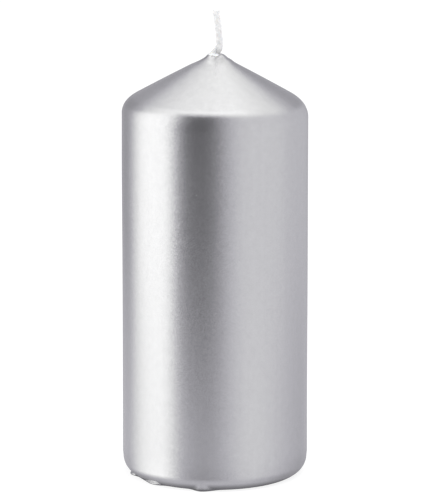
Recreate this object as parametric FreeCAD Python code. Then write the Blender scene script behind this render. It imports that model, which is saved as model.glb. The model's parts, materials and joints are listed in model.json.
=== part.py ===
import FreeCAD, Part
import math
import os

# A lacquered pillar candle, in millimetres. The origin is the centre of the flat base, +Z runs up the wick and
# the flat side of the wick faces -Y. From the inside out: a plaited wick in its sustainer, a pressed wax core
# with a bore, a skin of dipped wax that climbs the wick as a collar, and a film of metallic lacquer.

# body
BODY_R = 30.0  # over the lacquer
CORNER_Z = 121.7  # where wall and cone would meet if the shoulder were sharp
CONE_SLOPE = math.radians(29.0)  # above the horizontal
SHOULDER_ROUND = 6.4
BASE_ROUND = 5.46
LEVELLED = 0.4  # height melted off the rounded base to make it stand flat

# layers
LACQUER = 0.15
OVERDIP = 1.5
CORE_BASE_ROUND = 3.85
BORE_R = 1.3

# meniscus of dipped wax round the foot of the exposed wick
COLLAR_FOOT_R = 5.6  # where it leaves the cone
COLLAR_TOP_R = 1.25
COLLAR_TOP_Z = 139.1
LACQUER_TOP_Z = 137.5

# wick: three strands in a flat plait, soaked and jacketed in wax
STRAND_R = 0.3
PLAIT_SWING_X = 0.7  # how far a strand's centre swings across the flat
PLAIT_SWING_Y = 0.42
PLAIT_PITCH = 6.5
PLAIT_SECTIONS = 24  # lofted through to a pitch
SLOPE_STEP = 0.01  # height over which a slope is taken
STRANDS = 3
WICK_FOOT_Z = 0.2
WICK_TOP_Z = 151.6
WICK_CORNER_R = 0.5  # of the rounded outline that just holds the strands
JACKET_CLEARANCE = 0.02
JACKET_WALL = 0.07
JACKET_FOOT_Z = 134.0
JACKET_SECTION_GAP = 0.5  # height between the sections the jacket is lofted through

# the set of the exposed wick: a kick to +X at the foot, then a lean back towards the top
KICK = 1.35
KICK_FOOT_Z = 137.1
KICK_TOP_Z = 140.4
LEAN = 1.05
LEAN_FOOT_Z = 142.0
LEAN_POWER = 1.3

# where the wick bends
SWAY_Z = 140.0  # left and right, about Y
NOD_Z = 142.4  # back and front, about X
BEND_LIMIT = math.radians(45.0)
NOTCH_GAP = 0.05  # half the gap on the hinge line
NOTCH_MARGIN = math.radians(1.0)
NOTCH_REACH = 3.0  # from the hinge line past the widest part of the wick

# sustainer: a stamped disc with a neck that grips the wick
DISC_R = 10.0
SHEET = 0.25
DISC_Z = 0.1
NECK_BORE_R = 1.1
NECK_TOP_Z = 6.0
NECK_BEND_R = 0.5
SUSTAINER_CLEARANCE = 0.15
RECESS_R = 10.5
NECK_SPACE_Z = NECK_TOP_Z + SUSTAINER_CLEARANCE


def at(r, z):
    """A point of an outline in the XZ plane."""
    return FreeCAD.Vector(r, 0, z)


def arc(centre, radius, start_angle, end_angle):
    """An arc in the XZ plane; angles in radians from +X towards +Z."""
    points = []
    for angle in (start_angle, (start_angle + end_angle) / 2, end_angle):
        points.append(centre + at(radius * math.cos(angle), radius * math.sin(angle)))
    return Part.Arc(*points).toShape()


def line(start, end):
    return Part.makeLine(start, end)


def turned(edges):
    """The solid of revolution about Z of a closed outline."""
    face = Part.Face(Part.Wire(Part.__sortEdges__(edges)))
    return face.revolve(at(0, 0), FreeCAD.Vector(0, 0, 1), 360)


def shoulder_centre():
    turn = math.pi / 2 - CONE_SLOPE
    return at(BODY_R - SHOULDER_ROUND, CORNER_Z - SHOULDER_ROUND * math.tan(turn / 2))


def cone_z(r, inset):
    """Height of the cone at radius r, inset below the lacquer."""
    return CORNER_Z + (BODY_R - r) * math.tan(CONE_SLOPE) - inset / math.cos(CONE_SLOPE)


def cone_normal():
    return at(math.sin(CONE_SLOPE), math.cos(CONE_SLOPE))


def collar_arc():
    """Centre and radius of the collar's hollow, tangent to the cone at its foot."""
    foot = at(COLLAR_FOOT_R, cone_z(COLLAR_FOOT_R, 0))
    chord = at(COLLAR_TOP_R, COLLAR_TOP_Z) - foot
    radius = chord.dot(chord) / (2 * chord.dot(cone_normal()))
    return foot + cone_normal() * radius, radius


def dipped_body(inset):
    """Solid inside the surface at the given depth below the lacquer, collar included."""
    slope_angle = math.pi / 2 - CONE_SLOPE
    base_centre = at(BODY_R - BASE_ROUND, BASE_ROUND - LEVELLED)
    base_round = BASE_ROUND - inset
    base_angle = math.asin(-base_centre.z / base_round)
    shoulder_round = SHOULDER_ROUND - inset
    collar_centre, collar_round = collar_arc()
    collar_round += inset
    top_angle = -math.acos((COLLAR_TOP_R - collar_centre.x) / collar_round)

    base = arc(base_centre, base_round, base_angle, 0)
    shoulder = arc(shoulder_centre(), shoulder_round, 0, slope_angle)
    collar = arc(collar_centre, collar_round, slope_angle - math.pi, top_angle)
    foot = base.Vertexes[0].Point
    top = collar.Vertexes[-1].Point
    return turned(
        [
            line(at(0, 0), foot),
            base,
            line(base.Vertexes[-1].Point, shoulder.Vertexes[0].Point),
            shoulder,
            line(shoulder.Vertexes[-1].Point, collar.Vertexes[0].Point),
            collar,
            line(top, at(0, top.z)),
            line(at(0, top.z), at(0, 0)),
        ]
    )


def wax_core():
    """Pressed core: round-edged foot, pointed top, bore for the wick, recess for the sustainer."""
    inset = LACQUER + OVERDIP
    wall_r = BODY_R - inset
    base_centre = at(wall_r - CORE_BASE_ROUND, CORE_BASE_ROUND)
    base = arc(base_centre, CORE_BASE_ROUND, -math.pi / 2, 0)
    shoulder = arc(shoulder_centre(), SHOULDER_ROUND - inset, 0, math.pi / 2 - CONE_SLOPE)
    bore_top = at(BORE_R, cone_z(BORE_R, inset))
    recess_z = DISC_Z + SHEET + SUSTAINER_CLEARANCE
    neck_r = NECK_BORE_R + SHEET + SUSTAINER_CLEARANCE
    corners = [
        shoulder.Vertexes[-1].Point,
        bore_top,
        at(BORE_R, NECK_SPACE_Z),
        at(neck_r, NECK_SPACE_Z),
        at(neck_r, recess_z),
        at(RECESS_R, recess_z),
        at(RECESS_R, 0),
        base.Vertexes[0].Point,
    ]
    edges = [line(start, end) for start, end in zip(corners, corners[1:])]
    edges.append(base)
    edges.append(line(base.Vertexes[-1].Point, shoulder.Vertexes[0].Point))
    edges.append(shoulder)
    return turned(edges)


def smooth(value):
    """Smooth step from 0 to 1."""
    value = min(max(value, 0.0), 1.0)
    return value * value * (3 - 2 * value)


def wick_x(z):
    """Sideways place of the wick's centre line."""
    kick = KICK * smooth((z - KICK_FOOT_Z) / (KICK_TOP_Z - KICK_FOOT_Z))
    rise = max(z - LEAN_FOOT_Z, 0) / (WICK_TOP_Z - LEAN_FOOT_Z)
    return kick - LEAN * rise**LEAN_POWER


def slant(z):
    """How much wider the slanting wick is on the level than square to its own length."""
    slope = (wick_x(z + SLOPE_STEP) - wick_x(z - SLOPE_STEP)) / (2 * SLOPE_STEP)
    return math.sqrt(1 + slope * slope)


def strand_point(z, strand):
    turn = 2 * math.pi * (z / PLAIT_PITCH + strand / STRANDS)
    x = wick_x(z) + PLAIT_SWING_X * slant(z) * math.sin(turn)
    return FreeCAD.Vector(x, PLAIT_SWING_Y * math.sin(2 * turn), z)


def strand_section(z, strand):
    """Level outline of a round strand, drawn out along the way the strand leans."""
    centre = strand_point(z, strand)
    lean = strand_point(z + SLOPE_STEP, strand) - strand_point(z - SLOPE_STEP, strand)
    stretch = lean.Length / lean.z
    lean.z = 0
    lean.normalize()
    outline = Part.Circle(FreeCAD.Vector(0, 0, 0), FreeCAD.Vector(0, 0, 1), STRAND_R).toBSpline()
    for index, pole in enumerate(outline.getPoles(), 1):
        outline.setPole(index, centre + pole + lean * (pole.dot(lean) * (stretch - 1)))
    return Part.Wire(outline.toShape())


def whole_strand(strand):
    """One strand from the sustainer to the cut end, lofted a pitch at a time and sewn into one solid."""
    pitches = round((WICK_TOP_Z - WICK_FOOT_Z) / PLAIT_PITCH)
    count = pitches * PLAIT_SECTIONS
    heights = [WICK_FOOT_Z + (WICK_TOP_Z - WICK_FOOT_Z) * i / count for i in range(count + 1)]
    sections = [strand_section(z, strand) for z in heights]
    faces = [Part.Face(sections[0]), Part.Face(sections[-1])]
    for start in range(0, count, PLAIT_SECTIONS):
        loft = Part.makeLoft(sections[start : start + PLAIT_SECTIONS + 1], False, False)
        faces.extend(loft.Faces)
    skin = Part.Shell(faces)
    skin.sewShape()
    solid = Part.Solid(skin)
    if solid.Volume < 0:
        solid.reverse()
    return solid


def wick_section(z, grow):
    """Rounded rectangle round the plait at one height, larger than the strands by grow."""
    centre = FreeCAD.Vector(wick_x(z), 0, z)
    corner_r = WICK_CORNER_R + grow
    reach_x = (PLAIT_SWING_X + STRAND_R + grow) * slant(z) - corner_r
    reach_y = PLAIT_SWING_Y + STRAND_R - WICK_CORNER_R
    corners = []
    for quarter, (side_x, side_y) in enumerate([(1, 1), (-1, 1), (-1, -1), (1, -1)]):
        corner = centre + FreeCAD.Vector(side_x * reach_x, side_y * reach_y, 0)
        circle = Part.Circle(corner, FreeCAD.Vector(0, 0, 1), corner_r)
        start = quarter * math.pi / 2
        corners.append(circle.toShape(start, start + math.pi / 2))
    sides = []
    for corner, following in zip(corners, corners[1:] + corners[:1]):
        sides.append(line(corner.Vertexes[-1].Point, following.Vertexes[0].Point))
    return Part.Wire(Part.__sortEdges__(corners + sides))


def wick_sleeve(foot_z, top_z, grow):
    """Solid that encloses the plait between two heights."""
    count = max(round((top_z - foot_z) / JACKET_SECTION_GAP), 2)
    heights = [foot_z + (top_z - foot_z) * i / count for i in range(count + 1)]
    return Part.makeLoft([wick_section(z, grow) for z in heights], True, False)


def bend_notch(pivot_z, about_y):
    """Bow-tie prism whose two wedges close up when the wick bends to its limit."""
    rise = NOTCH_REACH * math.tan(BEND_LIMIT / 2 + NOTCH_MARGIN) + NOTCH_GAP
    outline = [
        at(-NOTCH_REACH, -rise),
        at(0, -NOTCH_GAP),
        at(NOTCH_REACH, -rise),
        at(NOTCH_REACH, rise),
        at(0, NOTCH_GAP),
        at(-NOTCH_REACH, rise),
        at(-NOTCH_REACH, -rise),
    ]
    face = Part.Face(Part.makePolygon(outline))
    face.translate(FreeCAD.Vector(0, -NOTCH_REACH, 0))
    notch = face.extrude(FreeCAD.Vector(0, 2 * NOTCH_REACH, 0))
    if not about_y:
        notch.rotate(at(0, 0), FreeCAD.Vector(0, 0, 1), 90)
    notch.translate(at(wick_x(pivot_z), pivot_z))
    return notch


def split_at_bends(shape):
    """The shape's lengths below, between and above the two bends."""
    for pivot_z, about_y in ((SWAY_Z, True), (NOD_Z, False)):
        shape = shape.cut(bend_notch(pivot_z, about_y))
    return sorted(shape.Solids, key=lambda solid: solid.BoundBox.ZMin)


def whole_jacket():
    """Wax coat of the exposed wick, open down the middle for the strands."""
    inner = wick_sleeve(JACKET_FOOT_Z, WICK_TOP_Z, JACKET_CLEARANCE)
    outer = wick_sleeve(JACKET_FOOT_Z, WICK_TOP_Z, JACKET_CLEARANCE + JACKET_WALL)
    return outer.cut(inner), inner


def overdip_shell(jacket_foot, wick_channel):
    """Dipped wax over the core, one piece with the wax that plugs the bore and climbs the wick's foot."""
    sustainer_space = Part.makeCylinder(RECESS_R, NECK_SPACE_Z)
    bore = Part.makeCylinder(BORE_R, JACKET_FOOT_Z)
    skin = dipped_body(LACQUER).cut([wax_core(), sustainer_space, bore])
    return skin.fuse(jacket_foot).cut(wick_channel)


def silver_lacquer():
    """Film over the dipped wax, from the levelled foot to just below the wick."""
    film = dipped_body(0).cut(dipped_body(LACQUER))
    size = 2 * BODY_R
    below = Part.makeBox(size, size, LACQUER_TOP_Z, FreeCAD.Vector(-BODY_R, -BODY_R, 0))
    return film.common(below)


def wick_sustainer():
    """Disc with an upturned neck, one sheet thick."""
    top_z = DISC_Z + SHEET
    bend = at(NECK_BORE_R + SHEET + NECK_BEND_R, top_z + NECK_BEND_R)
    inside = arc(bend, NECK_BEND_R, -math.pi / 2, -math.pi)
    outside = arc(bend, NECK_BEND_R + SHEET, -math.pi, -math.pi / 2)
    return turned(
        [
            line(at(DISC_R, DISC_Z), at(DISC_R, top_z)),
            line(at(DISC_R, top_z), inside.Vertexes[0].Point),
            inside,
            line(inside.Vertexes[-1].Point, at(NECK_BORE_R + SHEET, NECK_TOP_Z)),
            line(at(NECK_BORE_R + SHEET, NECK_TOP_Z), at(NECK_BORE_R, NECK_TOP_Z)),
            line(at(NECK_BORE_R, NECK_TOP_Z), outside.Vertexes[0].Point),
            outside,
            line(outside.Vertexes[-1].Point, at(DISC_R, DISC_Z)),
        ]
    )


def candle_nodes():
    jacket, wick_channel = whole_jacket()
    jacket_foot, knee_jacket, end_jacket = split_at_bends(jacket)
    nodes = {
        "wax_core": wax_core(),
        "overdip_shell": overdip_shell(jacket_foot, wick_channel),
        "silver_lacquer": silver_lacquer(),
        "wick_sustainer": wick_sustainer(),
        "knee_wick_wax": knee_jacket,
        "end_wick_wax": end_jacket,
    }
    for strand in range(STRANDS):
        buried, knee, end = split_at_bends(whole_strand(strand))
        nodes[f"buried_strand_{strand + 1}"] = buried
        nodes[f"knee_strand_{strand + 1}"] = knee
        nodes[f"end_strand_{strand + 1}"] = end
    return nodes


os.makedirs("parts", exist_ok=True)
for name, shape in candle_nodes().items():
    shape.exportStep(f"parts/{name}.step")
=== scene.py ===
import json
import math

import bpy
import numpy as np
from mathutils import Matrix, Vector, noise


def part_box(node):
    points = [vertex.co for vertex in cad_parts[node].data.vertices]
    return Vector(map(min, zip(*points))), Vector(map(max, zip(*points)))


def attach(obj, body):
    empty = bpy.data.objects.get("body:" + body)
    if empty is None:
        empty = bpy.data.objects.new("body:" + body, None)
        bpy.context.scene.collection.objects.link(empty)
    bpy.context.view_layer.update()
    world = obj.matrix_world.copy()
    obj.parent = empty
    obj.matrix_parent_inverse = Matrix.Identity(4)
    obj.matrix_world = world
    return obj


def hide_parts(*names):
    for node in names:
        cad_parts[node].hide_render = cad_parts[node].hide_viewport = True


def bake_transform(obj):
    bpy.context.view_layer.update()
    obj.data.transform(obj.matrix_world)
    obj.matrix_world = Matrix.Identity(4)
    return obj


# The looks of a lacquered pillar candle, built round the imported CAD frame. Outlines are worked in
# millimetres and scaled to metres when a mesh is made. Azimuth is 0 at the front (-Y), 90 at +X.

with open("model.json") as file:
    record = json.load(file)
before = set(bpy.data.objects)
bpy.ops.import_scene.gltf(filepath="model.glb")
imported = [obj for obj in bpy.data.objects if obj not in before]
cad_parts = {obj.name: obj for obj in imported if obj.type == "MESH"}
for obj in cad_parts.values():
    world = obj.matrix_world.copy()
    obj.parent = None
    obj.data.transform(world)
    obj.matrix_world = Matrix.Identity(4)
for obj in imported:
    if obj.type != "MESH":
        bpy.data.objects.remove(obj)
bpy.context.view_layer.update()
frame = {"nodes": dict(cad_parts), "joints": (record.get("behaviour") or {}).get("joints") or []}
MM = 0.001


def box_mm(node):
    low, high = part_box(node)
    return low / MM, high / MM


def joint_mm(name):
    joint = next(j for j in frame["joints"] if j["name"] == name)
    return Vector(joint["pos_m"]) / MM


# ---------------------------------------------------------------- sizes taken from the frame
BODY_R = box_mm("silver_lacquer")[1].x
DIPPED_R = box_mm("overdip_shell")[1].x
CORE_R = box_mm("wax_core")[1].x
DISC_R = box_mm("wick_sustainer")[1].x
NECK_TOP_Z = box_mm("wick_sustainer")[1].z
WICK_FOOT_Z = box_mm("buried_strand_1")[0].z
WICK_TOP_Z = box_mm("end_wick_wax")[1].z
SWAY = joint_mm("wick_sway")
NOD = joint_mm("wick_nod")

# ---------------------------------------------------------------- outlines
# Lengths in millimetres, angles in degrees. A hump is a height, an azimuth and a width to each side of it.
APEX_Z = 138.19  # of the cone, if it ran to a point
CONE_SLOPE = 29.0  # degrees above level
SLOPE_SKEW = 0.5  # steeper to the right, shallower to the left
CONE_CURVE = 0.02  # how much steeper the cone is at the shoulder, and shallower at the tip
SHOULDER_LENGTH = 8.0  # round the shoulder, from the wall to the cone
SHOULDER_SKEW = 0.8
SHOULDER_EASE = 1.5  # above 1, the bend is tighter at the wall and fades out into the cone
BASE_ROUND = 5.65
LEVELLED = 0.4  # height melted off the rounded base
# Wax squeezed out at the table by the hot plate, as humps: a thick run at the front, thin flanges elsewhere.
RUN = (2.6, -9.0, 6.5, 9.0)
FLANGES = (
    (1.7, -45, 10.0, 7.0), (1.8, -76, 9.0, 6.0), (0.5, -60, 12.0, 12.0), (0.9, 118, 14.0, 5.0),
    (1.4, 176, 6.0, 16.0), (0.7, 231, 9.0, 20.0),
)
RUN_OVERHANG = 0.15  # how much further out the run stands, by height
FLANGE_Z = 0.5  # height of the flanges' flat top
FLANGE_TOP_ROUND = 0.08
FLANGE_TOP_FALL = 3.0  # how far the top falls back, by height
EDGE_ROUND = 0.3  # set back of all of it at the table
EDGE_ROUND_Z = 0.15
CORNER_FILL = 0.12  # where squeezed wax meets the rounded foot
WALL_WAVES = ((0.035, 2, 0.6, 31), (0.02, 3, 0.0, -17), (0.012, 5, 0.0, 11))  # depth, lobes, start, twist
WAVES_START = (5.0, 25.0)
WAVES_END = (100.0, 118.0)
COLLAR_FOOT_R = 8.0  # where the wax starts to climb towards the wick
COLLAR_TOP_R = 0.95  # inside the wick, so that no edge shows
COLLAR_TOP_DEPTH = 0.55  # the same, from back to front
# Height of the collar over the cone by distance from the axis: wax creeps up the wick at the left, runs level
# to a low rim in front, and stands highest in a round rim at the right. Inside a rim it falls to a groove.
COLLAR_LEFT = (
    (COLLAR_TOP_R, 2.75), (1.2, 2.15), (1.65, 1.4), (2.3, 0.95), (2.9, 0.4), (3.6, 0.02), (4.7, -0.13),
    (5.3, -0.16), (6.5, -0.12), (COLLAR_FOOT_R, 0),
)
COLLAR_FRONT = (
    (COLLAR_TOP_R, 0.05), (1.35, 0.35), (1.7, 0.45), (3.1, 0.34), (3.6, 0.28), (4.8, 0.08), (5.8, 0),
    (COLLAR_FOOT_R, 0),
)
COLLAR_RIGHT = (
    (COLLAR_TOP_R, 0.1), (1.4, 0.25), (2.05, 0.5), (2.6, 0.7), (3.3, 0.68), (4.1, 0.36), (5.3, 0.36),
    (6.5, 0.05), (COLLAR_FOOT_R, 0),
)
COLLAR_SECTOR = (0.1, 0.95)  # sine of the azimuth between the front's profile and a side's
COLLAR_ROUND = 0.3  # over this distance to each side, a profile's corners are rounded
COLLAR_DRIFT = 0.35  # to +X, after the wick
COLLAR_DRIFT_LEFT = 0.85  # more of it where the wax creeps up
COLLAR_DRIFT_POWER = 4.5
DENT = (0.03, 13, 12.0, 12.0)  # a dimple in front of the wick, as a hump
DENT_R = 2.6
DENT_LENGTH = 0.6
LACQUER_EDGE = (1.65, -0.45, 0.6)  # distance from the wick, as a quadratic in the azimuth's sine
BARE_PATCHES = ((0.35, -40, 25.0, 25.0), (0.8, 6, 29.0, 29.0))  # where it keeps further away, as humps
EDGE_WAVES = ((0.05, 3, 1.0), (0.04, 7, 0.0))  # height, lobes, start
KICK_FOOT_Z = 137.0  # the wick kicks to +X between these heights
KICK_TOP_Z = 139.7
KICK = 1.095 * SWAY.x
LEAN_FOOT_Z = 142.0  # and from here leans back, so far at its cut end
LEAN = 1.05
LEAN_POWER = 1.3
FILM = BODY_R - DIPPED_R  # thickness of the lacquer
FILM_AT_TIP = 0.03
TAPER_ROWS = 24
LAYER_GAP = 0.01  # between skins, so that they touch nowhere
CORE_BASE_ROUND = 3.85
CORE_SHOULDER = 0.85 * SHOULDER_LENGTH
BORE_R = 1.3
NECK_SPACE_R = 1.5  # room for the sustainer's neck in the core
NECK_SPACE_Z = NECK_TOP_Z + 0.15
RECESS_R = DISC_R + 0.5
RECESS_Z = 0.5
GRANULE = 1.1
GRANULE_PIT = 0.1  # depth
GRANULE_SEAM = 0.35  # width of a pit, as a share of a granule
FOOT_ROWS, WALL_ROWS, SHOULDER_ROWS, CONE_ROWS, COLLAR_ROWS = 38, 71, 40, 40, 60
FOOT_CROWDING = 1.3  # above 1, the foot's rows are closer together at the table
CORE_FOOT_ROWS, CORE_SHOULDER_ROWS, CORE_CONE_ROWS, CORE_BASE_ROWS = 10, 8, 11, 63
AROUND = 288
AZIMUTH = np.arange(AROUND) * 360.0 / AROUND
SIDE = np.sin(np.radians(AZIMUTH))  # -1 at the left, 1 at the right
FRONT = np.cos(np.radians(AZIMUTH))


def smooth(value, start=0.0, end=1.0):
    """Smooth step of value, from 0 at start to 1 at end."""
    share = np.clip((value - start) / (end - start), 0.0, 1.0)
    return share * share * (3 - 2 * share)


def hump(height, centre, left, right):
    """Height by azimuth of a rounded hump, with its own width on each side of its centre, in degrees."""
    away = (AZIMUTH - centre + 180.0) % 360.0 - 180.0
    return height * np.exp(-((away / np.where(away < 0, left, right)) ** 2))


def wick_x(z):
    """Sideways place of the wick's centre line: a kick to +X at its foot, then a lean back."""
    rise = np.clip((z - LEAN_FOOT_Z) / (WICK_TOP_Z - LEAN_FOOT_Z), 0, None)
    return KICK * smooth(z, KICK_FOOT_Z, KICK_TOP_Z) - LEAN * rise**LEAN_POWER


# ---------------------------------------------------------------- meshes
def make_object(name, points, faces, material):
    """A smooth-shaded object from points in millimetres."""
    mesh = bpy.data.meshes.new(name)
    mesh.from_pydata((points * MM).tolist(), [], faces)
    mesh.validate()
    mesh.shade_smooth()
    mesh.materials.append(material)
    piece = bpy.data.objects.new(name, mesh)
    bpy.context.scene.collection.objects.link(piece)
    return piece


def ring_faces(rows, columns, closed):
    """Quads of a tube of rings; closed joins the last ring to the first."""
    faces = []
    for row in range(rows if closed else rows - 1):
        here = row * columns
        there = (row + 1) % rows * columns
        for i in range(columns):
            j = (i + 1) % columns
            faces.append((here + i, here + j, there + j, there + i))
    return faces


def ring_loop(name, rings, material):
    """A closed skin whose outline is itself a closed loop, like a thick-walled vessel."""
    rows, columns = rings.shape[:2]
    faces = ring_faces(rows, columns, True)
    return make_object(name, rings.reshape(-1, 3), faces, material)


def capped_tube(name, rings, material):
    """A tube of rings closed by a fan at each end."""
    rows, columns = rings.shape[:2]
    points = rings.reshape(-1, 3)
    foot, top = rings[0].mean(axis=0), rings[-1].mean(axis=0)
    points = np.vstack([points, foot, top])
    faces = ring_faces(rows, columns, False)
    last = (rows - 1) * columns
    for i in range(columns):
        j = (i + 1) % columns
        faces.append((j, i, rows * columns))
        faces.append((last + i, last + j, rows * columns + 1))
    return make_object(name, points, faces, material)


def spun(radius, z, shift=0.0):
    """Points of rings, from radius and height by row and azimuth; shift moves a row's centre along X."""
    return np.stack([radius * SIDE + shift, -radius * FRONT, np.broadcast_to(z, radius.shape)], axis=2)


def foot_edge():
    """Radius at the table by azimuth, for the run and for the flanges."""
    edge = BODY_R - BASE_ROUND + math.sqrt(BASE_ROUND**2 - (BASE_ROUND - LEVELLED) ** 2)
    return edge + hump(*RUN), edge + sum(hump(*flange) for flange in FLANGES)


def soft_max(first, second):
    """The greater of two radii, with the inner corner between them filled."""
    over = np.logaddexp(first / CORNER_FILL, second / CORNER_FILL) * CORNER_FILL
    return over - CORNER_FILL * math.log(2) * np.exp(-np.abs(over - first) / CORNER_FILL)


def foot_rows():
    """The rounded foot, with the squeezed wax that fills the space under it."""
    low = math.asin((LEVELLED - BASE_ROUND) / BASE_ROUND)
    angle = low * (1 - np.linspace(0, 1, FOOT_ROWS)[:, None] ** FOOT_CROWDING)
    z = BASE_ROUND - LEVELLED + BASE_ROUND * np.sin(angle)
    radius = BODY_R - BASE_ROUND + BASE_ROUND * np.cos(angle)
    run, flange = foot_edge()
    set_back = EDGE_ROUND * np.exp(-z / EDGE_ROUND_Z)
    over_top = np.logaddexp(0, (z - FLANGE_Z) / FLANGE_TOP_ROUND) * FLANGE_TOP_ROUND
    radius = soft_max(radius, run[None, :] + RUN_OVERHANG * z - set_back)
    return soft_max(radius, flange[None, :] - FLANGE_TOP_FALL * over_top - set_back), z + 0 * flange


def wall_wave(z):
    """Slight unevenness of a hand-dipped wall, nothing at the foot and shoulder."""
    a = np.radians(AZIMUTH)[None, :]
    wave = sum(depth * np.sin(lobes * a + start + z / twist) for depth, lobes, start, twist in WALL_WAVES)
    return wave * smooth(z, *WAVES_START) * (1 - smooth(z, *WAVES_END))


def shares(count):
    """A column of even steps from above 0 to 1, for rows that follow on from another row."""
    return np.linspace(0, 1, count + 1)[1:, None]


def shoulder_bend(turn):
    """Run and rise from the wall's top along a bend that turns by the given angle round the candle."""
    middle = shares(SHOULDER_ROWS) - 0.5 / SHOULDER_ROWS
    angle = turn * (1 - (1 - middle) ** SHOULDER_EASE)
    step = (SHOULDER_LENGTH + SHOULDER_SKEW * SIDE[None, :]) / SHOULDER_ROWS
    return np.cumsum(-np.sin(angle) * step, axis=0), np.cumsum(np.cos(angle) * step, axis=0)


def rounded_profile(stations, radius):
    """A profile given by straight lines between stations, with its corners rounded off."""
    places, heights = zip(*stations)
    window = np.linspace(-COLLAR_ROUND, COLLAR_ROUND, 7)
    return sum(np.interp(radius + offset, places, heights) for offset in window) / len(window)


def collar_rise(radius):
    """Height of the collar over the cone, and its drift to +X as it nears the wick."""
    left, right = smooth(-SIDE, *COLLAR_SECTOR)[None, :], smooth(SIDE, *COLLAR_SECTOR)[None, :]
    rise = left * rounded_profile(COLLAR_LEFT, radius) + right * rounded_profile(COLLAR_RIGHT, radius)
    rise += (1 - left - right) * rounded_profile(COLLAR_FRONT, radius)
    rise -= hump(*DENT)[None, :] * np.exp(-(((radius - DENT_R) / DENT_LENGTH) ** 2))
    climb = (COLLAR_FOOT_R - radius) / (COLLAR_FOOT_R - COLLAR_TOP_R)
    return rise, (COLLAR_DRIFT + COLLAR_DRIFT_LEFT * left) * np.maximum(climb, 0) ** COLLAR_DRIFT_POWER


def skin_rows(tip_r):
    """Radius, height and sideways shift of the outer surface by row and azimuth, from the table to tip_r."""
    slope = np.radians(CONE_SLOPE + SLOPE_SKEW * SIDE)[None, :]
    bend_r, bend_z = shoulder_bend(math.pi / 2 - np.arctan(np.tan(slope) + CONE_CURVE))
    shoulder_r = BODY_R + bend_r
    wall_top_z = APEX_Z - shoulder_r[-1:] * np.tan(slope) - bend_z[-1:]

    foot_r, foot_z = foot_rows()
    wall_z = foot_z[-1:] + (wall_top_z - foot_z[-1:]) * shares(WALL_ROWS)
    wall_r = BODY_R + wall_wave(wall_z)
    shoulder_z = wall_top_z + bend_z
    cone_r = shoulder_r[-1:] + (COLLAR_FOOT_R - shoulder_r[-1:]) * shares(CONE_ROWS)
    collar_r = COLLAR_FOOT_R + (tip_r[None, :] - COLLAR_FOOT_R) * shares(COLLAR_ROWS)
    upper_r = np.vstack([cone_r, collar_r])
    upper_z = APEX_Z - upper_r * (np.tan(slope) - CONE_CURVE * (1 - upper_r / shoulder_r[-1:]))
    rise, drift = collar_rise(collar_r)
    upper_z[-COLLAR_ROWS:] += rise

    radius = np.vstack([foot_r, wall_r, shoulder_r, upper_r])
    z = np.vstack([foot_z, wall_z, shoulder_z, upper_z])
    shift = np.zeros_like(radius)
    shift[-COLLAR_ROWS:] = drift
    return radius, z, shift


def inset(radius, z, depth):
    """The outline moved inwards by depth, square to the surface."""
    across, up = np.gradient(radius, axis=0), np.gradient(z, axis=0)
    length = np.hypot(across, up)
    return radius - depth * up / length, z + depth * across / length


def film_depth(rows):
    """Thickness of the lacquer by row: even, then thinning out over the last rows of the collar."""
    depth = np.full((rows, 1), FILM)
    depth[-TAPER_ROWS:, 0] = np.linspace(FILM, FILM_AT_TIP, TAPER_ROWS)
    return depth


def lacquer_edge():
    """Distance from the wick at which the lacquer ends, uneven round the collar."""
    a = np.radians(AZIMUTH)
    edge = LACQUER_EDGE[0] + LACQUER_EDGE[1] * SIDE + LACQUER_EDGE[2] * SIDE**2
    edge += sum(hump(*patch) for patch in BARE_PATCHES)
    return edge + sum(height * np.sin(lobes * a + start) for height, lobes, start in EDGE_WAVES)


def wick_edge():
    """Distance from the collar's axis at which its top ends, inside the wick."""
    return 1.0 / np.hypot(SIDE / COLLAR_TOP_R, FRONT / COLLAR_TOP_DEPTH)


def lacquer_coat(material):
    radius, z, shift = skin_rows(lacquer_edge())
    outer = spun(radius, z, shift)
    inner_r, inner_z = inset(radius, z, film_depth(len(radius)))
    inner = spun(inner_r, np.maximum(inner_z, 0), shift)
    piece = ring_loop("lacquer_coat", np.vstack([outer, inner[::-1]]), material)
    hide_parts("silver_lacquer")
    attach(piece, "candle")


def core_outline():
    """Radius and height of the pressed core from the edge of its flat base to the bore."""
    slope = math.radians(CONE_SLOPE)
    depth = BODY_R - CORE_R
    angle = np.linspace(-math.pi / 2, 0, CORE_FOOT_ROWS)
    foot_r = CORE_R - CORE_BASE_ROUND + CORE_BASE_ROUND * np.cos(angle)
    foot_z = CORE_BASE_ROUND + CORE_BASE_ROUND * np.sin(angle)
    turn = math.pi / 2 - slope
    wall_top_z = APEX_Z - BODY_R * math.tan(slope) - CORE_SHOULDER * math.tan(turn / 2)
    angle = np.linspace(0, turn, CORE_SHOULDER_ROWS)
    shoulder_r = BODY_R - CORE_SHOULDER + (CORE_SHOULDER - depth) * np.cos(angle)
    shoulder_z = wall_top_z + (CORE_SHOULDER - depth) * np.sin(angle)
    cone_r = np.linspace(shoulder_r[-1], BORE_R, CORE_CONE_ROWS + 1)[1:]
    cone_z = APEX_Z - cone_r * math.tan(slope) - depth / math.cos(slope)
    return np.concatenate([foot_r, shoulder_r, cone_r]), np.concatenate([foot_z, shoulder_z, cone_z])


def dipped_wax(material):
    """White wax under the lacquer: bare round the wick and as a ring in the base."""
    radius, z, shift = skin_rows(wick_edge())
    outer_r, outer_z = inset(radius, z, film_depth(len(radius)) + LAYER_GAP)
    outer = spun(outer_r, np.maximum(outer_z, 0), shift)
    core_r, core_z = core_outline()
    bore = spun(np.full((1, AROUND), BORE_R), np.full((1, AROUND), core_z[-1]))
    inner = spun(core_r[::-1, None] + 0 * SIDE, core_z[::-1, None] + 0 * SIDE)
    piece = ring_loop("dipped_wax", np.vstack([outer, bore, inner[1:]]), material)
    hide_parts("overdip_shell")
    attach(piece, "candle")


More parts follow.
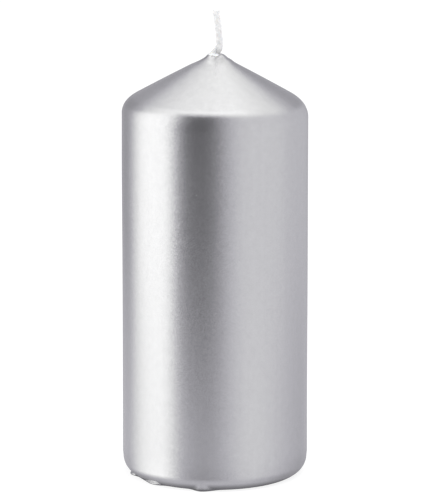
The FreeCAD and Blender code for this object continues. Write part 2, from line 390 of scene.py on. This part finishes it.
def granules(radius):
    """Depth of the pits between pressed wax granules on the flat of the base."""
    depth = np.zeros_like(radius)
    for row in range(len(radius)):
        for i in range(AROUND):
            place = Vector((radius[row, i] * SIDE[i], radius[row, i] * FRONT[i], 0))
            near, second = noise.voronoi(place / GRANULE)[0][:2]
            depth[row, i] = GRANULE_PIT * (1 - min((second - near) / GRANULE_SEAM, 1.0))
    return depth


def pressed_core(material):
    """Core of pressed granules; its underside shows their outlines, half melted flat."""
    flat_r = np.linspace(RECESS_R, CORE_R - CORE_BASE_ROUND, CORE_BASE_ROWS + 1)[:-1, None] + 0 * SIDE
    flat_z = granules(flat_r)
    core_r, core_z = core_outline()
    core_r -= LAYER_GAP
    core_z[CORE_FOOT_ROWS:] -= LAYER_GAP
    inside_r = np.array([BORE_R - LAYER_GAP, NECK_SPACE_R, NECK_SPACE_R, RECESS_R])
    inside_z = np.array([NECK_SPACE_Z, NECK_SPACE_Z, RECESS_Z, RECESS_Z])
    rest_r = np.concatenate([core_r, inside_r])[:, None] + 0 * SIDE
    rest_z = np.concatenate([core_z, inside_z])[:, None] + 0 * SIDE
    rings = np.vstack([spun(flat_r, flat_z), spun(rest_r, rest_z)])
    piece = ring_loop("pressed_core", rings, material)
    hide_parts("wax_core")
    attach(piece, "candle")


# ---------------------------------------------------------------- the wick
PLAIT_PITCH = 6.5
STRANDS = 3
PLAIT_SWING = (0.66, 0.36)  # how far a strand swings sideways, and back and front
PLAIT_BLEND = 12  # the higher, the sharper the crease between strands
STRAND_R = 0.38
WAX_FILL = (1.02, 0.68)  # half width and depth of the wax that fills the plait
WICK_AROUND = 80
WICK_STEP = 0.06
SEAM_Z = (SWAY.z + NOD.z) / 2  # in the stiff middle of the knee
YARNS = 9  # round the wick
YARN_DEPTH = 0.008
YARN_PITCH = 0.42
FLARE = 0.12  # how much the cord opens towards its cut end, as a share, and spreads to the left
FLARE_LENGTH = 1.6
CUT_SHARES = (0.97, 0.9, 0.78, 0.62, 0.45, 0.28, 0.12)
CUT_FRAY = 0.1
CUT_FRAY_SCALE = 4.5
CUT_DOME = 0.05
CUT_EDGE = 0.04


def plait_reach(z, angle):
    """Distance from the cord's centre to its surface, by row and angle round it."""
    fill = 1.0 / np.hypot(np.cos(angle) / WAX_FILL[0], np.sin(angle) / WAX_FILL[1])
    total = fill**PLAIT_BLEND + 0 * z
    for strand in range(STRANDS):
        turn = 2 * math.pi * (z / PLAIT_PITCH + strand / STRANDS)
        x, y = PLAIT_SWING[0] * np.sin(turn), PLAIT_SWING[1] * np.sin(2 * turn)
        along = x * np.cos(angle) + y * np.sin(angle)
        aside = y * np.cos(angle) - x * np.sin(angle)
        room = STRAND_R**2 - aside**2
        reach = np.where(room > 0, along + np.sqrt(np.maximum(room, 0)), 0)
        total = total + np.maximum(reach, 0) ** PLAIT_BLEND
    reach = total ** (1 / PLAIT_BLEND)
    return reach + YARN_DEPTH * np.sin(2 * math.pi * (z / YARN_PITCH) + YARNS * angle)


def wick_rings(foot_z, top_z):
    """Rings of the plaited cord, square to its centre line."""
    count = round((top_z - foot_z) / WICK_STEP)
    z = np.linspace(foot_z, top_z, count + 1)[:, None]
    angle = (np.arange(WICK_AROUND) * 2 * math.pi / WICK_AROUND)[None, :]
    step = 0.01
    slope = (wick_x(z + step) - wick_x(z - step)) / (2 * step)
    length = np.hypot(slope, 1)
    reach = plait_reach(z, angle)
    across = reach * np.cos(angle)
    depth = reach * np.sin(angle)
    flare = FLARE * smooth(z, WICK_TOP_Z - FLARE_LENGTH, WICK_TOP_Z)
    across = across * (1 + flare) - flare
    x = wick_x(z) + across / length
    return np.stack([x, depth + 0 * x, z - across * slope / length], axis=2)


def frayed_end(rings):
    """Closes the cut end with rings that shrink over its uneven face."""
    centre = rings[-1].mean(axis=0)
    extra = []
    for share in CUT_SHARES:
        ring = centre + (rings[-1] - centre) * share
        for point in ring:
            fray = CUT_FRAY * noise.noise(Vector(point) * CUT_FRAY_SCALE)
            point[2] = centre[2] + fray + CUT_DOME * (1 - share)
        extra.append(ring)
    rings[-1][:, 2] = centre[2] - CUT_EDGE
    return np.vstack([rings, extra])


def wick(material):
    """The wick in three pieces: in the sustainer, from the collar to the knee, and from the knee up."""
    foot = capped_tube("wick_foot", wick_rings(WICK_FOOT_Z, NECK_TOP_Z + 2), material)
    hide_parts("buried_strand_1", "buried_strand_2", "buried_strand_3")
    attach(foot, "candle")
    lower = capped_tube("wick_lower", wick_rings(KICK_FOOT_Z, SEAM_Z), material)
    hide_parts("knee_wick_wax", "knee_strand_1", "knee_strand_2", "knee_strand_3")
    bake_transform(lower)
    upper = capped_tube("wick_upper", frayed_end(wick_rings(SEAM_Z, WICK_TOP_Z)), material)
    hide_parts("end_wick_wax", "end_strand_1", "end_strand_2", "end_strand_3")
    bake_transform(upper)


# ---------------------------------------------------------------- node helpers
class Shader:
    """A material or world node tree, with short calls to add nodes and link them."""

    def __init__(self, tree):
        self.tree = tree

    def add(self, kind, inputs=None, **settings):
        node = self.tree.nodes.new(kind)
        for name, value in settings.items():
            setattr(node, name, value)
        for name, value in (inputs or {}).items():
            self.put(node, name, value)
        return node

    def put(self, node, name, value):
        socket = node.inputs[name]
        if isinstance(value, bpy.types.NodeSocket):
            self.tree.links.new(value, socket)
        else:
            socket.default_value = value

    def maths(self, operation, a, b=0.0, c=0.0):
        return self.add("ShaderNodeMath", {0: a, 1: b, 2: c}, operation=operation).outputs[0]

    def spread(self, value, low, high, to_low=0.0, to_high=1.0, smooth_step=False):
        """Maps value from one range to another, clamped."""
        inputs = {"Value": value, "From Min": low, "From Max": high, "To Min": to_low, "To Max": to_high}
        kind = "SMOOTHSTEP" if smooth_step else "LINEAR"
        return self.add("ShaderNodeMapRange", inputs, interpolation_type=kind).outputs["Result"]

    def mix(self, share, a, b):
        node = self.add("ShaderNodeMix", data_type="RGBA")
        for index, value in ((0, share), (6, a), (7, b)):
            self.put(node, index, value)
        return node.outputs[2]

    def scaled(self, coordinates, scale):
        return self.add("ShaderNodeMapping", {"Vector": coordinates, "Scale": scale}).outputs[0]

    def vector(self, operation, a, b=None):
        """Vector maths; b is a vector or, for SCALE, a number."""
        inputs = {0: a} if b is None else {0: a, "Scale" if operation == "SCALE" else 1: b}
        outputs = self.add("ShaderNodeVectorMath", inputs, operation=operation).outputs
        return outputs["Value" if operation in ("DISTANCE", "LENGTH") else "Vector"]

    def split(self, coordinates):
        return self.add("ShaderNodeSeparateXYZ", {"Vector": coordinates}).outputs

    def red(self, colour):
        """The level of a grey, or one channel of a colour."""
        return self.add("ShaderNodeSeparateColor", {"Color": colour}).outputs[0]

    def noise(self, coordinates, scale, detail=2.0, roughness=0.5):
        inputs = {"Vector": coordinates, "Scale": scale, "Detail": detail, "Roughness": roughness}
        return self.add("ShaderNodeTexNoise", inputs).outputs["Fac"]

    def bump(self, height, distance, strength=1.0, normal=None):
        inputs = {"Height": height, "Distance": distance, "Strength": strength}
        if normal is not None:
            inputs["Normal"] = normal
        return self.add("ShaderNodeBump", inputs).outputs["Normal"]

    def ramp(self, value, stops):
        """Grey levels by position, each stop a (position, level) pair."""
        node = self.add("ShaderNodeValToRGB", {"Fac": value})
        elements = node.color_ramp.elements
        for _ in range(len(stops) - 2):
            elements.new(0.5)
        for element, (position, level) in zip(elements, stops):
            element.position = position
            element.color = (level, level, level, 1)
        return node.outputs["Color"]


def new_material(name, **values):
    """A material with its Principled BSDF set, and object coordinates in millimetres."""
    material = bpy.data.materials.new(name)
    material.use_nodes = True
    shader = Shader(material.node_tree)
    surface = material.node_tree.nodes["Principled BSDF"]
    for key, value in values.items():
        surface.inputs[key.replace("_", " ")].default_value = value
    place = shader.add("ShaderNodeTexCoord").outputs["Object"]
    return material, shader, surface, shader.scaled(place, (1 / MM,) * 3)


def set_glow(surface, scatter, depth):
    """How light spreads inside wax: by colour, and how deep in millimetres."""
    surface.inputs["Subsurface Radius"].default_value = scatter
    surface.inputs["Subsurface Scale"].default_value = depth * MM


def grey(level):
    return (level, level, level, 1)


# ---------------------------------------------------------------- materials
# Texture scales are per millimetre, bump heights in millimetres. Tones are the ends of a noise's range.
NOISE_RANGE = (0.3, 0.7)  # most of a noise's values
LACQUER_TONES = ((0.63, 0.63, 0.634, 1), (0.81, 0.81, 0.814, 1))
LACQUER_ROUGHNESS = (0.2, 0.24)
GRAIN_SHARE = 0.7  # of fine grain in the mottle, the rest is blotches
GRAIN_ROUGHNESS = (-0.02, 0.03)
STREAK_TONE = (0.92, 0.92, 0.925, 1)
STREAK_SHARE = 0.06
STREAK_STRETCH = (1, 1, 0.015)
DENT_SHADE_CENTRE = (1.1, -4.0, 0.0)  # painted shade: a darker spot below the wick, round the dent there
DENT_SHADE_REACH = (0.8, 2.9)
DENT_SHADE_TONE = 0.8  # share of the lacquer's own tone that is left at its centre
FLAKES = 7.0
FLAKE_TILT = 0.1
SPECKS = 0.22
SPECK_REACH = 0.035
SPECK_HEIGHT = 0.04
ORANGE_PEEL = 0.003
WAX_TONES = ((0.87, 0.866, 0.85, 1), (0.91, 0.906, 0.893, 1))
WAX_SCATTER = (1.0, 0.85, 0.7)
# Painted shade in the crease between the wick and the collar: grey laid into the wax's colour, thin at the
# left.
CREASE_SHADE_TONE = (0.6, 0.6, 0.59, 1)
CREASE_SHADE_X = (-1.6, 0.4)  # thin at the left, full at the right of these
CREASE_SHADE_THIN = 0.3
CREASE_SHADE_FOOT_Z = (137.9, 138.4)  # it sets in over these heights on the wax
CREASE_SHADE_TOP_Z = (138.4, 139.6)  # and wears off over these
CREASE_SHADE_ABOVE = 0.2
CORE_TONES = ((0.86, 0.85, 0.81, 1), (0.95, 0.945, 0.92, 1))
WICK_TONES = ((0.88, 0.88, 0.872, 1), (0.91, 0.91, 0.905, 1))
WICK_SCATTER = (1.0, 0.95, 0.9)
WICK_FOOT_SHADE_TONE = (0.62, 0.62, 0.61, 1)
WICK_SHADE_Z = (138.2, 140.1)  # painted shade: the wick's foot is grey, from here up it fades to its own white
TINPLATE_TONES = ((0.62, 0.62, 0.63, 1), (0.78, 0.78, 0.77, 1))
TINPLATE_ROUGHNESS = (0.24, 0.4)


def lacquer_material():
    """Satin metallic lacquer: fine flakes, faint dip streaks down the wall, a few specks."""
    material, shader, surface, place = new_material("silver_lacquer", Metallic=1.0)
    grain = shader.noise(place, 2.4, 4.0, 0.7)
    blotches = shader.noise(place, 0.45, 2.0)
    streaks = shader.noise(shader.scaled(place, STREAK_STRETCH), 0.9, 3.0, 0.6)
    cloud = shader.noise(place, 0.06, 2.0)
    fine = shader.maths("MULTIPLY", grain, GRAIN_SHARE)
    mottle = shader.maths("MULTIPLY_ADD", blotches, 1 - GRAIN_SHARE, fine)
    tone = shader.mix(mottle, *LACQUER_TONES)
    tone = shader.mix(shader.spread(streaks, *NOISE_RANGE, 0.0, STREAK_SHARE), tone, STREAK_TONE)
    # painted shade of the dent below the wick: the lacquer's tone is darkened round it
    away = shader.vector("DISTANCE", shader.scaled(place, (1, 1, 0)), DENT_SHADE_CENTRE)
    dent_shade = shader.spread(away, *DENT_SHADE_REACH, DENT_SHADE_TONE, 1.0, True)
    shader.put(surface, "Base Color", shader.mix(dent_shade, grey(0.0), tone))
    rough = shader.spread(cloud, *NOISE_RANGE, *LACQUER_ROUGHNESS)
    fine = shader.spread(grain, *NOISE_RANGE, *GRAIN_ROUGHNESS)
    shader.put(surface, "Roughness", shader.maths("ADD", rough, fine))
    flakes = shader.add("ShaderNodeTexVoronoi", {"Vector": place, "Scale": FLAKES}).outputs["Color"]
    tilt = shader.vector("SCALE", shader.vector("SUBTRACT", flakes, (0.5, 0.5, 0.5)), FLAKE_TILT)
    cells = shader.add("ShaderNodeTexVoronoi", {"Vector": place, "Scale": SPECKS}).outputs["Distance"]
    normal = shader.bump(shader.spread(cells, 0.0, SPECK_REACH, 1.0, 0.0, True), SPECK_HEIGHT * MM)
    normal = shader.bump(shader.noise(place, 1.6, 2.0), ORANGE_PEEL * MM, 1.0, normal)
    shader.put(surface, "Normal", shader.vector("NORMALIZE", shader.vector("ADD", normal, tilt)))
    return material


def wax_material():
    """Smooth white dipped wax with a soft glow, greyed close to the wick by painted shade in the crease
    there.
    """
    material, shader, surface, place = new_material("dipped_wax", Roughness=0.42, Subsurface_Weight=0.35)
    set_glow(surface, WAX_SCATTER, 1.2)
    unshaded = shader.mix(shader.noise(place, 0.8, 3.0), *WAX_TONES)
    x, _, z = shader.split(place)
    # painted shade in the crease by the wick, darker to the right and fading out up the wick
    crease_shade = shader.maths("MULTIPLY", shader.spread(x, *CREASE_SHADE_X, CREASE_SHADE_THIN, 1.0), shader.spread(z, *CREASE_SHADE_FOOT_Z))
    crease_shade = shader.maths("MULTIPLY", crease_shade, shader.spread(z, *CREASE_SHADE_TOP_Z, 1.0, CREASE_SHADE_ABOVE))
    shader.put(surface, "Base Color", shader.mix(crease_shade, unshaded, CREASE_SHADE_TONE))
    shader.put(surface, "Normal", shader.bump(shader.noise(place, 3.0, 4.0), 0.02 * MM))
    return material


def core_material():
    """Pressed granules: each a slightly different white, with frosted faces."""
    material, shader, surface, place = new_material("pressed_wax", Roughness=0.6, Subsurface_Weight=0.25)
    set_glow(surface, WAX_SCATTER, 1.5)
    cells = shader.add("ShaderNodeTexVoronoi", {"Vector": place, "Scale": 1 / GRANULE})
    shader.put(surface, "Base Color", shader.mix(shader.red(cells.outputs["Color"]), *CORE_TONES))
    shader.put(surface, "Normal", shader.bump(shader.noise(place, 6.0, 4.0), 0.03 * MM))
    return material


def wick_material():
    """White cotton under wax: soft yarn lines, small waxy gloss, grey at its foot with painted shade where it
    enters the collar.
    """
    material, shader, surface, place = new_material("waxed_wick", Roughness=0.5, Subsurface_Weight=0.4)
    set_glow(surface, WICK_SCATTER, 0.6)
    unshaded = shader.mix(shader.noise(place, 2.5, 3.0), *WICK_TONES)
    # painted shade on the wick's foot where it enters the collar
    share = shader.spread(shader.split(place)["Z"], *WICK_SHADE_Z, smooth_step=True)
    shader.put(surface, "Base Color", shader.mix(share, WICK_FOOT_SHADE_TONE, unshaded))
    yarns = shader.noise(shader.scaled(place, (1, 1, 0.35)), 7.0, 2.0)
    shader.put(surface, "Normal", shader.bump(yarns, 0.015 * MM))
    return material


def tinplate_material():
    """Bright rolled tinplate with stamping marks in rings and a few scratches."""
    material, shader, surface, place = new_material("tinplate", Metallic=1.0)
    x, y, _ = shader.split(place)
    squares = shader.maths("ADD", shader.maths("POWER", x, 2), shader.maths("POWER", y, 2))
    radius = shader.maths("SQRT", squares)
    rings = shader.noise(shader.add("ShaderNodeCombineXYZ", {"X": radius}).outputs[0], 2.4, 3.0)
    rolled = shader.noise(shader.scaled(place, (0.25, 6, 1)), 1.4, 4.0)
    shader.put(surface, "Base Color", shader.mix(rolled, *TINPLATE_TONES))
    shader.put(surface, "Roughness", shader.spread(rolled, *NOISE_RANGE, *TINPLATE_ROUGHNESS))
    marks = shader.maths("ADD", rings, shader.maths("MULTIPLY", rolled, 0.4))
    shader.put(surface, "Normal", shader.bump(marks, 0.02 * MM))
    return material


# ---------------------------------------------------------------- studio
# Light levels by the direction halfway between the camera and the light. An upright candle mirrors a light
# where its surface faces that way, so the azimuths here are azimuths on the candle, as the camera sees it.
WALL_LIGHT = (
    (-90, 0.42), (-72, 0.36), (-65, 0.42), (-59, 0.8), (-53, 1.22), (-46, 1.33), (-33, 1.33), (-29, 1.15),
    (-24, 0.5), (-19, 0.2), (-13, 0.13), (-5, 0.13), (0, 0.2), (6, 0.45), (13, 0.67), (20, 0.74), (42, 0.74),
    (52, 0.65), (70, 0.6), (90, 0.5),
)
CEILING_LIGHT = (
    (-90, 0.5), (-70, 0.49), (-61, 0.55), (-52, 0.76), (-44, 0.87), (-30, 1.0), (-12, 1.11), (6, 1.17),
    (20, 1.24), (34, 1.28), (44, 1.12), (52, 0.93), (60, 0.62), (72, 0.45), (90, 0.45),
)
NEAR_EDGE = (  # what the ceiling's level is multiplied by in a strip along its edge
    (-90, 0.68), (-69, 0.68), (-61, 0.79), (-50, 1.06), (-36, 1.18), (-28, 1.22), (8, 1.21), (20, 1.05),
    (30, 0.82), (36, 0.75), (46, 0.88), (90, 0.88),
)
FAR_EDGE = 0.85  # and everywhere past that strip
CEILING_FALL = (59.4, 62.0)  # elevation on the candle where the strip ends
CEILING_EDGE = (44.2, 58.2)  # elevation on the candle, between the wall's light and the ceiling's
CEILING_DROP = ((-90, 1.6), (-62, 1.6), (-47, 0.81), (-22, 0), (8, 0), (45, 0.8), (90, 0.8))
DROP_UNIT = 10.0  # degrees that the ceiling's edge sits lower for a drop of 1
SCREEN_EDGE = -25.0  # azimuth of the left screen's inner edge
SCREEN_EDGE_REACH = (10, 20)  # lights nearer than this to the edge move with it
SCREEN_TILT = 1.5  # how far the edge moves over these elevations
SCREEN_TILT_FROM = (8, 35)
FLOOR_LIGHT = (  # the floor as the candle mirrors it, and as it does close to its foot
    (-90, 0.6), (-66, 0.56), (-58, 0.85), (-50, 1.12), (-40, 1.24), (-33, 1.24), (-28, 1.0), (-23, 0.68),
    (-17, 0.53), (-8, 0.46), (0, 0.5), (8, 0.62), (16, 0.76), (26, 0.8), (40, 0.68), (52, 0.57), (66, 0.49),
    (90, 0.55),
)
NEAR_LIGHT = ((-90, 0.3), (-53, 0.32), (-40, 0.46), (-25, 0.58), (20, 0.58), (33, 0.5), (48, 0.32), (90, 0.3))
# The floor as the candle mirrors it, by the length of the mirrored ray in millimetres.
FLOOR_CONTACT = (0.6, 3.2)  # darkest in the candle's own shadow
CONTACT_LEVEL = 0.3
FLOOR_NEAR = (2.7, 8.8)  # from the near light to the floor's own
FLOOR_CRISP = (8.0, 38.0)  # the floor's pattern loses its extra contrast
CRISP_POWER = 1.3
FLOOR_FADE = 520.0  # the floor is lost in the wall's light
FLOOR_VEIL = 0.95  # share of the floor in what is mirrored at its foot
# The floor as the camera sees it is partly a light, so that it stays white with a faint contact shadow.
FLOOR_TONES = (0.93, 0.95)
FLOOR_GLOW = 1.15
GLOW_SHARE = 0.72
FLOOR_R = 2500.0  # millimetres
FLOOR_Z = -0.05
BEHIND = (0.12, 0.5)  # the patterns end in an even level straight behind the candle
BEHIND_LIGHT = 0.45
VIOLET = (1.013, 1.0, 1.075, 1)
VIOLET_LEVELS = (0.55, 0.95)  # the tint fades out between these levels
LIGHTS = (  # name, place and aim in metres, size, power
    ("top_light", (0.3, -0.5, 1.6), (0, 0, 0.05), 1.2, 10.0),
    ("front_light", (0.5, -1.8, 0.5), (0, 0, 0.08), 0.8, 3.4),
    ("left_light", (-1.2, -0.6, 0.9), (0, 0, 0.08), 0.8, 3.0),
)
CAMERA_ELEVATION = math.radians(12.5)
CAMERA_DISTANCE = 1.646  # metres
CAMERA_AIM_Z = 0.07286
LENS = 365.0  # millimetres
SENSOR = 36.0
TO_CAMERA = (0.0, -math.cos(CAMERA_ELEVATION), math.sin(CAMERA_ELEVATION))


def by_azimuth(shader, azimuth, lights):
    """A ramp over azimuth in degrees; levels are halved to fit a ramp's range and doubled again."""
    reach = lights[-1][0]
    place = shader.spread(azimuth, -reach, reach)
    stops = [(0.5 + degrees / (2 * reach), level / 2) for degrees, level in lights]
    return shader.maths("MULTIPLY", shader.red(shader.ramp(place, stops)), 2.0)


def mirrored_at(shader, towards):
    """Azimuth and elevation in degrees of the surface that mirrors a direction to the camera, and how far the
    direction is from being behind the candle, where no surface does."""
    halfway = shader.vector("ADD", towards, TO_CAMERA)
    aside = shader.vector("LENGTH", halfway)
    x, y, z = shader.split(shader.vector("NORMALIZE", halfway))
    azimuth = shader.maths("DEGREES", shader.maths("ARCTAN2", x, shader.maths("MULTIPLY", y, -1.0)))
    return azimuth, shader.maths("DEGREES", shader.maths("ARCSINE", z)), aside


def tinted(shader, level):
    """A light level as a colour: dim surroundings are slightly violet, bright ones neutral."""
    level = shader.red(level)
    tint = shader.mix(shader.spread(level, *VIOLET_LEVELS), VIOLET, grey(1.0))
    return shader.vector("SCALE", tint, level)


def studio_world():
    """Soft studio: a white screen at the left, a grey one at the right, a dark gap round the camera and a
    bright ceiling behind it. The camera itself sees a white ground."""
    world = bpy.data.worlds.new("studio")
    bpy.context.scene.world = world
    world.use_nodes = True
    shader = Shader(world.node_tree)
    azimuth, elevation, aside = mirrored_at(shader, shader.add("ShaderNodeTexCoord").outputs["Generated"])
    from_edge = shader.maths("ABSOLUTE", shader.maths("SUBTRACT", azimuth, SCREEN_EDGE))
    tilt = shader.spread(elevation, *SCREEN_TILT_FROM, 0.0, SCREEN_TILT)
    tilt = shader.maths("MULTIPLY", tilt, shader.spread(from_edge, *SCREEN_EDGE_REACH, 1.0, 0.0))
    wall = by_azimuth(shader, shader.maths("SUBTRACT", azimuth, tilt), WALL_LIGHT)
    ceiling = by_azimuth(shader, azimuth, CEILING_LIGHT)
    near_edge = by_azimuth(shader, azimuth, NEAR_EDGE)
    strip = shader.mix(shader.spread(elevation, *CEILING_FALL), near_edge, grey(FAR_EDGE))
    ceiling = shader.maths("MULTIPLY", ceiling, shader.red(strip))
    lower = shader.maths("MULTIPLY", by_azimuth(shader, azimuth, CEILING_DROP), DROP_UNIT)
    edge = shader.maths("ADD", elevation, lower)
    level = shader.mix(shader.spread(edge, *CEILING_EDGE, smooth_step=True), wall, ceiling)
    level = shader.mix(shader.spread(aside, *BEHIND), grey(BEHIND_LIGHT), level)
    seen = shader.add("ShaderNodeLightPath").outputs["Is Camera Ray"]
    background = world.node_tree.nodes["Background"]
    shader.put(background, "Color", shader.mix(seen, tinted(shader, level), grey(1.0)))


def floor_material():
    """Pale matt floor. In reflections it is a glowing grey veil that fades out away from the candle: a
    painted reflection, with a painted contact shadow near the foot.
    """
    material, shader, surface, place = new_material("pale_floor", Roughness=0.8)
    shade = shader.noise(place, 0.02, 3.0)
    shader.put(surface, "Base Color", shader.mix(shade, *map(grey, FLOOR_TONES)))
    surface.inputs["Specular IOR Level"].default_value = 0.0
    path = shader.add("ShaderNodeLightPath").outputs
    geometry = shader.add("ShaderNodeNewGeometry").outputs
    behind = geometry["Backfacing"]
    clear = shader.add("ShaderNodeBsdfTransparent").outputs[0]
    azimuth = mirrored_at(shader, shader.vector("SCALE", geometry["Incoming"], -1.0))[0]
    lit = by_azimuth(shader, azimuth, FLOOR_LIGHT)
    reach = shader.maths("DIVIDE", path["Ray Length"], MM)
    lit = shader.maths("POWER", lit, shader.spread(reach, *FLOOR_CRISP, CRISP_POWER, 1.0))
    near = by_azimuth(shader, azimuth, NEAR_LIGHT)
    lit = shader.mix(shader.spread(reach, *FLOOR_NEAR, smooth_step=True), near, lit)
    # painted contact shadow in the reflection, by the mirrored ray's length
    contact = shader.spread(reach, *FLOOR_CONTACT, CONTACT_LEVEL, 1.0, smooth_step=True)
    lit = shader.maths("MULTIPLY", lit, contact)
    veil = shader.add("ShaderNodeEmission", {"Color": tinted(shader, lit)}).outputs[0]
    thickness = shader.spread(reach, 0.0, FLOOR_FADE, FLOOR_VEIL, 0.0, True)
    mirrored = shader.add("ShaderNodeMixShader", {0: thickness, 1: clear, 2: veil}).outputs[0]
    glow = shader.add("ShaderNodeEmission", {"Color": grey(1.0), "Strength": FLOOR_GLOW}).outputs[0]
    shown = shader.add("ShaderNodeMixShader", {0: GLOW_SHARE, 1: surface.outputs[0], 2: glow}).outputs[0]
    shown = shader.add("ShaderNodeMixShader", {0: path["Is Glossy Ray"], 1: shown, 2: mirrored}).outputs[0]
    final = shader.add("ShaderNodeMixShader", {0: behind, 1: shown, 2: clear}).outputs[0]
    shader.put(material.node_tree.nodes["Material Output"], "Surface", final)
    return material


def add_floor():
    """A wide disc just under the candle."""
    rim = spun(np.full((1, AROUND), FLOOR_R), np.full((1, AROUND), FLOOR_Z))
    points = np.vstack([rim.reshape(-1, 3), [[0, 0, FLOOR_Z]]])
    faces = [(AROUND, i, (i + 1) % AROUND) for i in range(AROUND)]
    mesh = bpy.data.meshes.new("floor")
    mesh.from_pydata((points * MM).tolist(), [], faces)
    mesh.materials.append(floor_material())
    floor = bpy.data.objects.new("floor", mesh)
    bpy.context.scene.collection.objects.link(floor)


def add_light(name, place, aim, size, power):
    """A square soft light that the lacquer doesn't mirror."""
    light = bpy.data.lights.new(name, "AREA")
    light.size = size
    light.energy = power
    lamp = bpy.data.objects.new(name, light)
    bpy.context.scene.collection.objects.link(lamp)
    lamp.location = place
    lamp.rotation_mode = "QUATERNION"
    lamp.rotation_quaternion = (Vector(aim) - Vector(place)).to_track_quat("-Z", "Y")
    lamp.visible_glossy = False


def add_camera():
    """Long lens, a little above the candle, level with its middle."""
    data = bpy.data.cameras.new("camera")
    data.lens = LENS
    data.sensor_width = SENSOR
    camera = bpy.data.objects.new("camera", data)
    bpy.context.scene.collection.objects.link(camera)
    back = Vector(TO_CAMERA)
    camera.location = Vector((0.0, 0.0, CAMERA_AIM_Z)) + back * CAMERA_DISTANCE
    camera.rotation_mode = "QUATERNION"
    camera.rotation_quaternion = (-back).to_track_quat("-Z", "Y")
    bpy.context.scene.camera = camera


lacquer_coat(lacquer_material())
dipped_wax(wax_material())
pressed_core(core_material())
wick(wick_material())
sustainer = frame["nodes"]["wick_sustainer"]
sustainer.data.materials.clear()
sustainer.data.materials.append(tinplate_material())

studio_world()
add_floor()
for settings in LIGHTS:
    add_light(*settings)
add_camera()
bpy.context.scene.view_settings.view_transform = "Standard"
